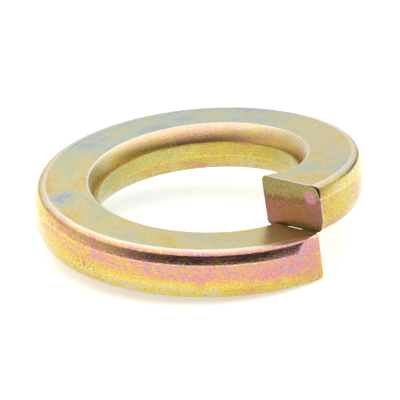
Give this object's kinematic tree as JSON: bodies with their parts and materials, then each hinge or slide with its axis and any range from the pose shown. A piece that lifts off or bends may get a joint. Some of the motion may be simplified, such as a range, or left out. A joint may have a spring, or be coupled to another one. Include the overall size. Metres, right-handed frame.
{
  "type": "spring lock washer",
  "caption": "Helical spring lock washer: a turn of square-edged spring wire, sheared so that its ends stand apart, in yellow zinc plate.",
  "frame": {"origin": "on the bore's axis, level with the washer's lowest point, which is the lower end's bottom corner", "axes": "+Z along the bore axis, towards the nut or bolt head; the split between the two ends lies on the +X side"},
  "size_m": [0.0264, 0.0264, 0.0081],
  "materials": {
    "yellow_zinc": "iridescent yellow zinc plate over spring steel, satin with fine scratches"
  },
  "bodies": {
    "root": {"lock_washer": "yellow_zinc"}
  },
  "joints": []
}
